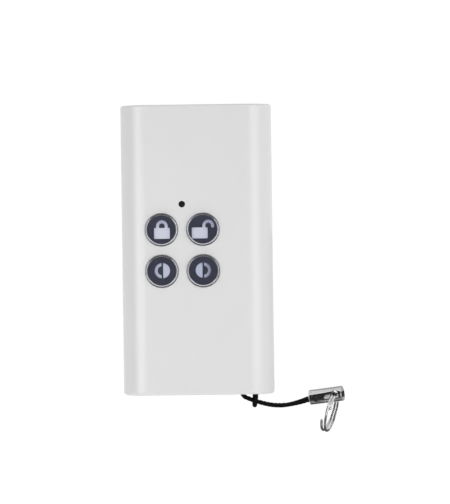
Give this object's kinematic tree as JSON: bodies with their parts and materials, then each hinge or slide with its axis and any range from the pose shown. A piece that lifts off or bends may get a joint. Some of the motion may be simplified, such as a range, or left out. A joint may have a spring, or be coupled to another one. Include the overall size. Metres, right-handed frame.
{
  "type": "alarm key fob",
  "caption": "Slim white alarm key fob with round arm, disarm and part-arm keys, a status light, a wrist strap with ferrule and split ring, and a board and coin cell inside.",
  "frame": {"origin": "centre of the case's footprint, on the surface that the fob lies on its back on", "axes": "+Y along the case towards its top end, +X to the right as seen from the front, +Z out of the front face through the keys"},
  "size_m": [0.0572, 0.0852, 0.0136],
  "materials": {
    "case": "fine satin",
    "key_rim": "bright metallised rim",
    "key_face": "smooth",
    "key_symbol": "translucent light shot",
    "membrane": "silicone",
    "lens": "smoked",
    "led": "clear resin",
    "board": "solder mask",
    "chip": "moulded",
    "can": "plated",
    "antenna": "plated strip",
    "cell": "nickel plated",
    "holder": "moulded",
    "contact": "sprung strip",
    "screw": "zinc plated",
    "pin": "ground",
    "switch": "moulded",
    "plunger": "moulded",
    "cord": "fine braid",
    "bright_metal": "plated",
    "ring": "plated wire"
  },
  "bodies": {
    "case": {"front_shell": "case", "keypad_membrane": "membrane", "led_window": "lens", "status_led": "led", "circuit_board": "board", "microcontroller": "chip", "radio_chip": "chip", "crystal": "can", "chip_components": "chip", "antenna": "antenna", "battery": "cell", "battery_holder": "holder", "battery_contact_negative": "contact", "battery_contact_positive": "contact", "board_screws": "screw", "lanyard_pin": "pin", "strap_cord": "cord", "strap_ferrule": "bright_metal", "switch_arm": "switch", "switch_disarm": "switch", "switch_part_left": "switch", "switch_part_right": "switch"},
    "rear_cover": {"rear_shell": "case", "case_screws": "screw"},
    "ring": {"split_ring": "ring"},
    "arm_key": {"key_arm": "key_rim", "face_arm": "key_face", "icon_arm": "key_symbol", "plunger_arm": "plunger"},
    "disarm_key": {"key_disarm": "key_rim", "face_disarm": "key_face", "icon_disarm": "key_symbol", "plunger_disarm": "plunger"},
    "part_left_key": {"key_part_left": "key_rim", "face_part_left": "key_face", "icon_part_left": "key_symbol", "plunger_part_left": "plunger"},
    "part_right_key": {"key_part_right": "key_rim", "face_part_right": "key_face", "icon_part_right": "key_symbol", "plunger_part_right": "plunger"}
  },
  "joints": [
    {"name": "rear_cover_slide", "type": "slide", "parent": "case", "child": "rear_cover", "axis": [0, 0, -1], "range_m": [0, 0.02]},
    {"name": "arm_key_press", "type": "slide", "parent": "case", "child": "arm_key", "axis": [0, 0, -1], "range_m": [0, 0.00035], "stiffness_N_per_m": 4000, "springref_m": -0.0001, "deforming": ["keypad_membrane"]},
    {"name": "disarm_key_press", "type": "slide", "parent": "case", "child": "disarm_key", "axis": [0, 0, -1], "range_m": [0, 0.00035], "stiffness_N_per_m": 4000, "springref_m": -0.0001, "deforming": ["keypad_membrane"]},
    {"name": "part_left_key_press", "type": "slide", "parent": "case", "child": "part_left_key", "axis": [0, 0, -1], "range_m": [0, 0.00035], "stiffness_N_per_m": 4000, "springref_m": -0.0001, "deforming": ["keypad_membrane"]},
    {"name": "part_right_key_press", "type": "slide", "parent": "case", "child": "part_right_key", "axis": [0, 0, -1], "range_m": [0, 0.00035], "stiffness_N_per_m": 4000, "springref_m": -0.0001, "deforming": ["keypad_membrane"]},
    {"name": "ring_swing", "type": "hinge", "parent": "case", "child": "ring", "pos_m": [0.03535, -0.03795, 0.00583], "axis": [-0.2565, -0.0342, 0.9659], "range_deg": [-40, 220]}
  ]
}
